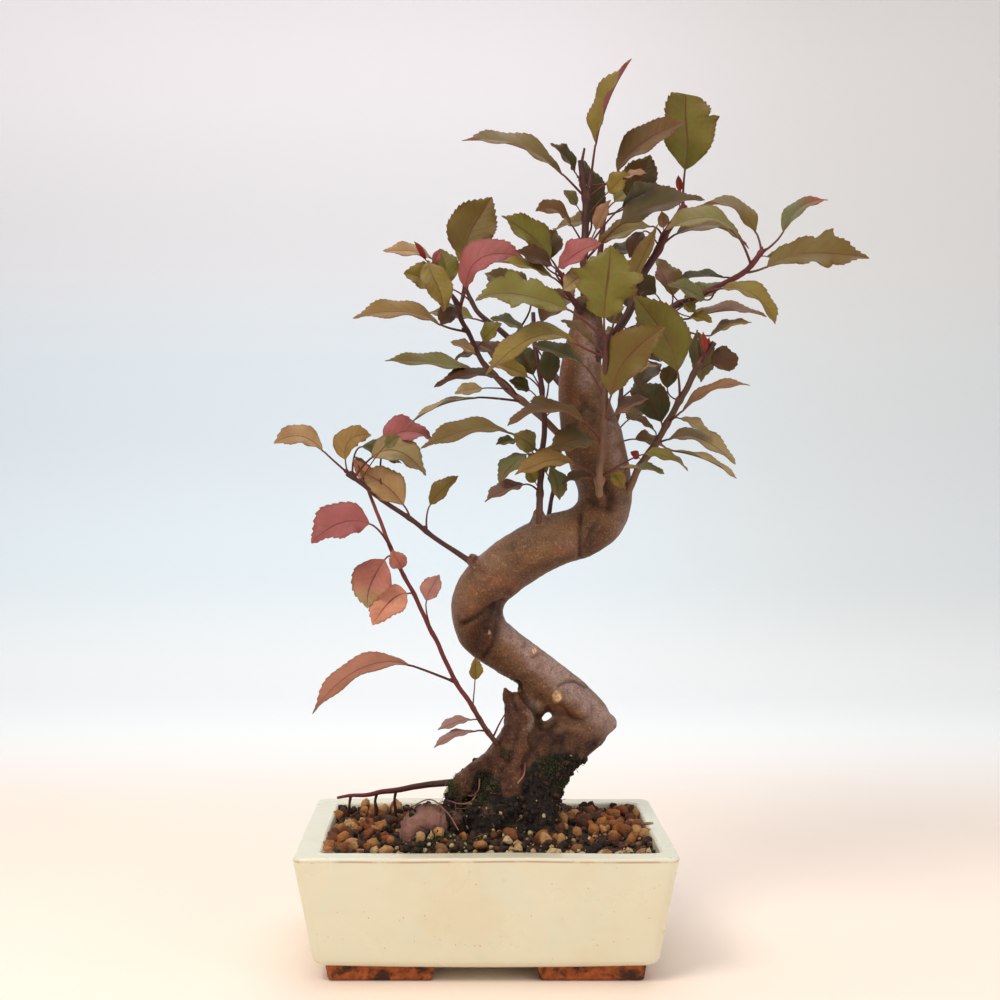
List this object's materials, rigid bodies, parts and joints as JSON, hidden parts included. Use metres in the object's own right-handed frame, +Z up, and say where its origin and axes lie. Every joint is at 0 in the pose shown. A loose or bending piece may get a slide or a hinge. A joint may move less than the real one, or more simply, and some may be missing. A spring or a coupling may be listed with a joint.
{
  "type": "apple bonsai",
  "caption": "Informal upright apple bonsai with an S-bent trunk, a dead stump, spreading roots and arching leafy shoots, planted in a rectangular glazed pot on corner feet.",
  "frame": {"origin": "on the ground, under the middle of the whole plant's reach", "axes": "+Z up from the ground through the crown, -Y towards the side the bonsai is looked at from, +X to the viewer's right along the pot's long side"},
  "size_m": [0.304, 0.1448, 0.4684],
  "materials": {
    "pot": "gloss",
    "mesh": "matte",
    "soil": "matte",
    "bark": "satin",
    "leaf": "satin"
  },
  "bodies": {
    "root": {"pot": "pot", "drain_mesh_left": "mesh", "drain_mesh_right": "mesh", "soil": "soil", "trunk": "bark", "base_shoot": "bark", "apex_spray": "leaf", "upper_right_spray": "leaf", "right_spray": "leaf", "front_spray": "leaf", "lower_right_spray": "leaf", "left_upright_spray": "leaf", "small_spur": "leaf", "left_spray": "leaf", "low_left_spray": "leaf", "red_sucker": "leaf", "shoulder_spray": "leaf", "back_top_spray": "leaf", "back_left_spray": "leaf", "back_right_spray": "leaf", "back_low_spray": "leaf"}
  },
  "joints": []
}
